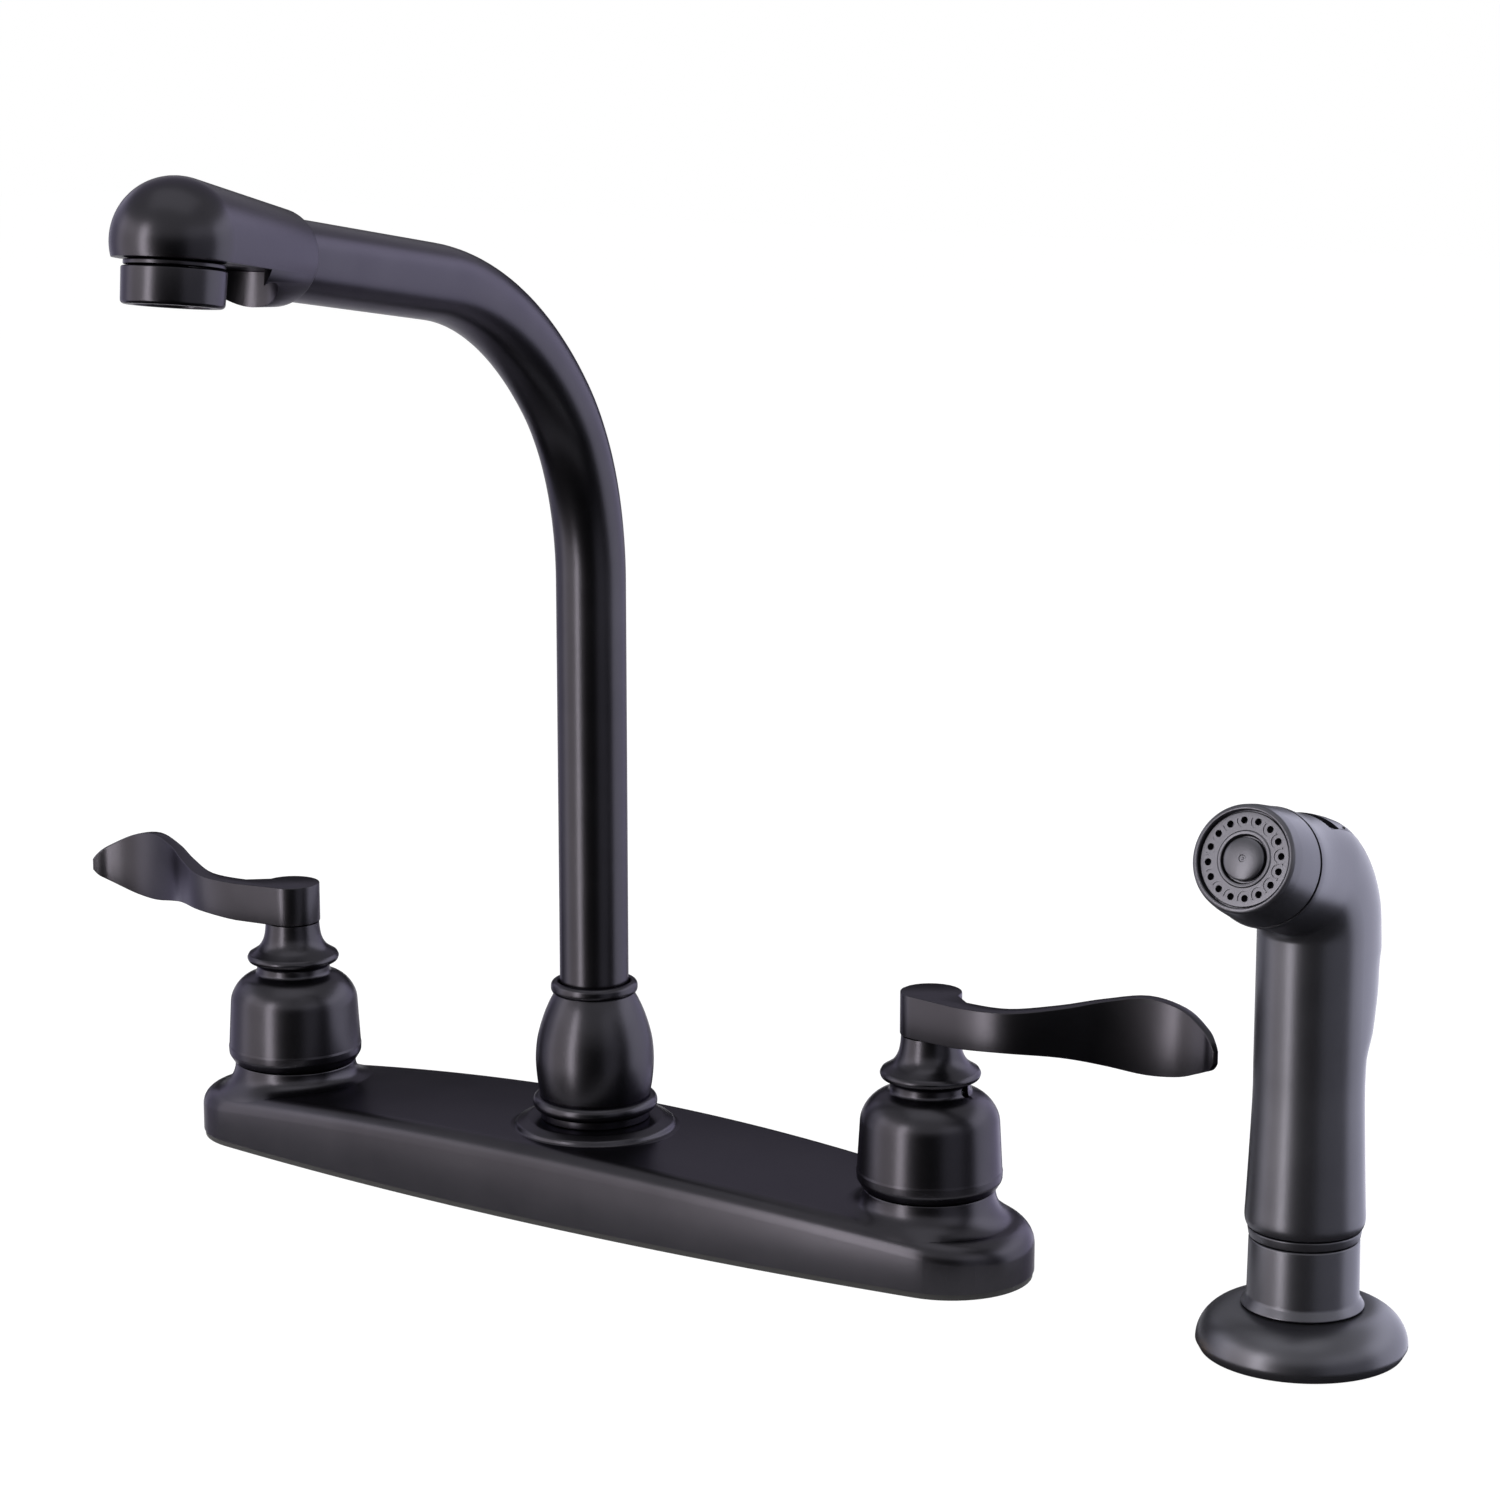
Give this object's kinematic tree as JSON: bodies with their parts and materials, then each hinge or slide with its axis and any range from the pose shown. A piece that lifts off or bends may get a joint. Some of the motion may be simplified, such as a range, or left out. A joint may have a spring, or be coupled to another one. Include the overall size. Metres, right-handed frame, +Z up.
{
  "type": "two handle kitchen faucet",
  "caption": "Deck plate kitchen faucet with wave-shaped lever handles, a high swivelling spout with an aerator, and a side sprayer with a rear trigger in its own guide.",
  "frame": {"origin": "on the sink deck's top, under the spout's axis and midway between the handles", "axes": "+Z up, -Y towards the user, +X along the deck plate to the user's right"},
  "size_m": [0.4059, 0.2367, 0.321],
  "materials": {
    "oil_rubbed_bronze": "oil-rubbed bronze, dark satin",
    "coated_abs": "dark bronze metallic coating on moulded plastic, satin",
    "raw_brass": "machined brass",
    "copper_tube": "drawn copper",
    "steel": "plain steel",
    "black_rubber": "matt black",
    "black_plastic": "moulded, satin",
    "white_acetal": "moulded, satin",
    "ceramic_disc": "lapped ceramic"
  },
  "bodies": {
    "deck_unit": {"deck_gasket": "black_rubber", "deck_plate": "oil_rubbed_bronze", "centre_body": "raw_brass", "hose_nipple": "raw_brass", "spout_bonnet": "oil_rubbed_bronze", "spout_bushing": "white_acetal", "spray_flange": "coated_abs", "spray_guide": "coated_abs", "spray_washer": "steel", "spray_nut": "black_plastic", "valve_body_left": "raw_brass", "cross_tube_left": "copper_tube", "cartridge_left": "raw_brass", "fixed_disc_left": "ceramic_disc", "seat_seal_left": "black_rubber", "shank_washer_left": "steel", "shank_nut_left": "raw_brass", "valve_body_right": "raw_brass", "cross_tube_right": "copper_tube", "cartridge_right": "raw_brass", "fixed_disc_right": "ceramic_disc", "seat_seal_right": "black_rubber", "shank_washer_right": "steel", "shank_nut_right": "raw_brass"},
    "diverter": {"diverter_valve": "white_acetal"},
    "spout": {"spout_tube": "oil_rubbed_bronze", "spout_foot": "raw_brass", "spout_seal_lower": "black_rubber", "spout_seal_upper": "black_rubber", "spout_head": "oil_rubbed_bronze", "aerator_ring": "oil_rubbed_bronze", "aerator_housing": "oil_rubbed_bronze", "aerator_screen": "white_acetal", "aerator_washer": "black_rubber"},
    "left_handle": {"handle_base_left": "oil_rubbed_bronze", "set_screw_left": "steel", "lever_screw_left": "steel", "lever_left": "oil_rubbed_bronze", "stem_left": "raw_brass", "turning_disc_left": "ceramic_disc"},
    "right_handle": {"handle_base_right": "oil_rubbed_bronze", "set_screw_right": "steel", "lever_screw_right": "steel", "lever_right": "oil_rubbed_bronze", "stem_right": "raw_brass", "turning_disc_right": "ceramic_disc"},
    "wand": {"spray_body": "coated_abs", "hose_collar": "coated_abs", "hose_tail": "raw_brass", "nozzle_collar": "coated_abs", "nozzle_face": "black_plastic", "nozzle_button": "black_plastic", "trigger_pin": "steel", "trigger_spring": "steel"},
    "trigger": {"trigger": "coated_abs"},
    "plunger": {"spray_plunger": "raw_brass", "plunger_seal": "black_rubber"}
  },
  "joints": [
    {"name": "spout_swivel", "type": "hinge", "parent": "deck_unit", "child": "spout", "pos_m": [0, 0, 0.042], "axis": [0, 0, 1], "continuous": true},
    {"name": "left_handle_turn", "type": "hinge", "parent": "deck_unit", "child": "left_handle", "pos_m": [-0.1016, 0, 0.0216], "axis": [0, 0, 1], "range_deg": [0, 90]},
    {"name": "right_handle_turn", "type": "hinge", "parent": "deck_unit", "child": "right_handle", "pos_m": [0.1016, 0, 0.0216], "axis": [0, 0, 1], "range_deg": [-90, 0]},
    {"name": "diverter_lift", "type": "slide", "parent": "deck_unit", "child": "diverter", "axis": [0, 0, 1], "range_m": [0, 0.0015]},
    {"name": "wand_lift", "type": "slide", "parent": "deck_unit", "child": "wand", "axis": [0, 0, 1], "range_m": [0, 0.06]},
    {"name": "trigger_press", "type": "hinge", "parent": "wand", "child": "trigger", "pos_m": [0.2032, -0.0015, 0.11948], "axis": [-1, 0, 0], "range_deg": [0, 6], "stiffness_Nm_per_rad": 0.15, "springref_deg": -17.19},
    {"name": "plunger_push", "type": "slide", "parent": "wand", "child": "plunger", "axis": [0, -1, 0], "range_m": [0, 0.0026]}
  ],
  "couplings": [
    {"joint": "plunger_push", "follows": "trigger_press", "m_per_rad": 0.0225}
  ]
}
